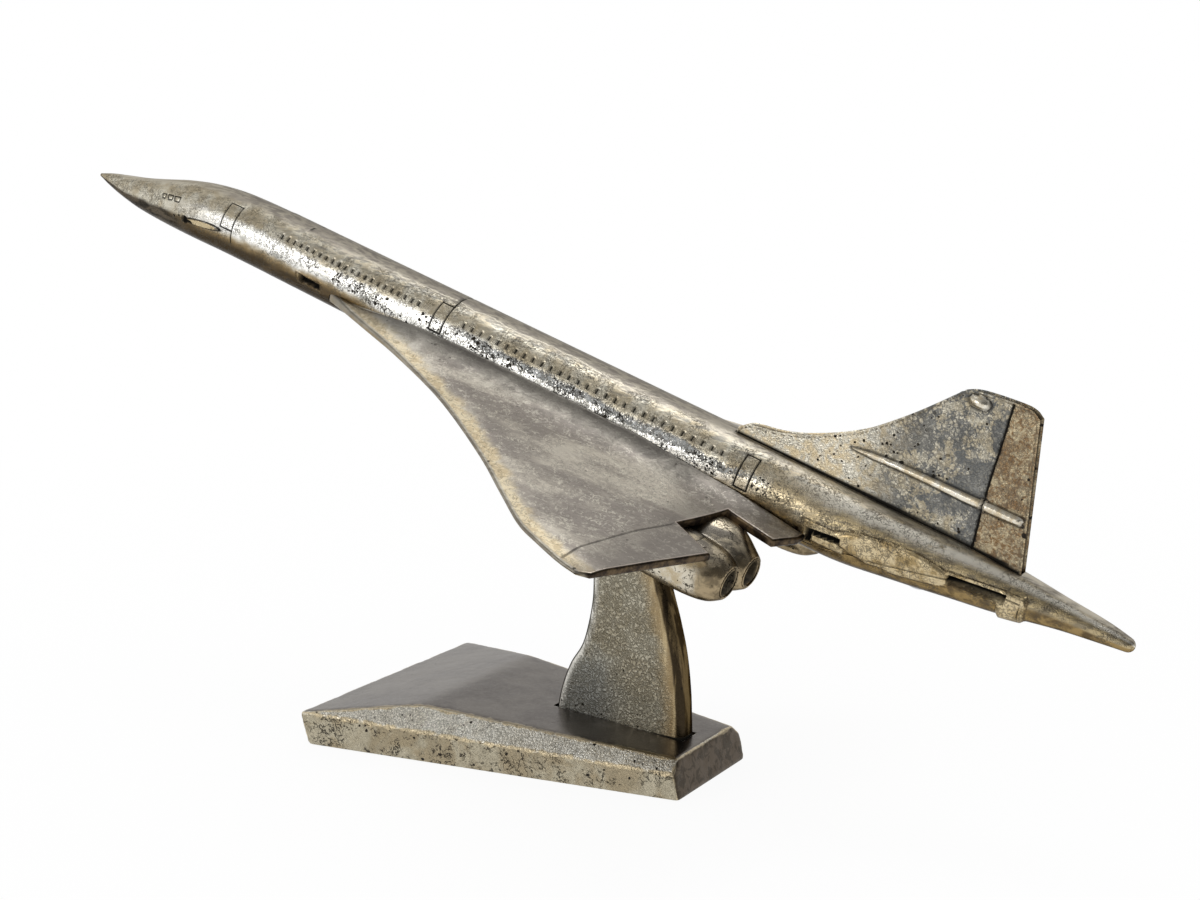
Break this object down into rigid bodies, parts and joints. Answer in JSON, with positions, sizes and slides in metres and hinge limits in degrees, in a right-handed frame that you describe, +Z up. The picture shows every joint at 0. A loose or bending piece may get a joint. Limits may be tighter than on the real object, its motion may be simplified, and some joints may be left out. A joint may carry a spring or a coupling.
{
  "type": "model airplane on a stand",
  "caption": "Cast-metal desk model of a delta-wing airliner, climbing nose-up on a blade-shaped pillar that stands on a wedge-shaped base with a sloped front.",
  "frame": {"origin": "centre of the base's flat underside, on the middle plane of the stand and the airplane", "axes": "+X towards the end of the base that lies under the airplane's nose, +Y to the airplane's port side, +Z up"},
  "size_m": [0.3835, 0.1596, 0.1799],
  "materials": {
    "base_metal": "satin antique nickel plate, worn and pitted",
    "pillar_metal": "fine-grained antique nickel plate with bright edges",
    "body_metal": "polished antique nickel plate with dark pits",
    "belly_metal": "polished, warm golden where the plate is worn",
    "wing_metal": "satin antique nickel plate, golden at the edges",
    "nacelle_metal": "polished antique nickel plate",
    "fin_metal": "pitted antique nickel plate",
    "steel": "plain steel"
  },
  "bodies": {
    "root": {"stand_base": "base_metal", "stand_pillar": "pillar_metal", "pillar_foot_screws": "steel", "fuselage_upper": "body_metal", "fuselage_lower": "belly_metal", "wing_port": "wing_metal", "wing_starboard": "wing_metal", "wing_dowels": "steel", "shell_screws": "steel", "pillar_top_screws": "steel", "nacelle_port": "nacelle_metal", "nacelle_starboard": "nacelle_metal", "nacelle_pins": "steel", "tail_fin": "fin_metal", "fin_dowels": "steel"}
  },
  "joints": []
}
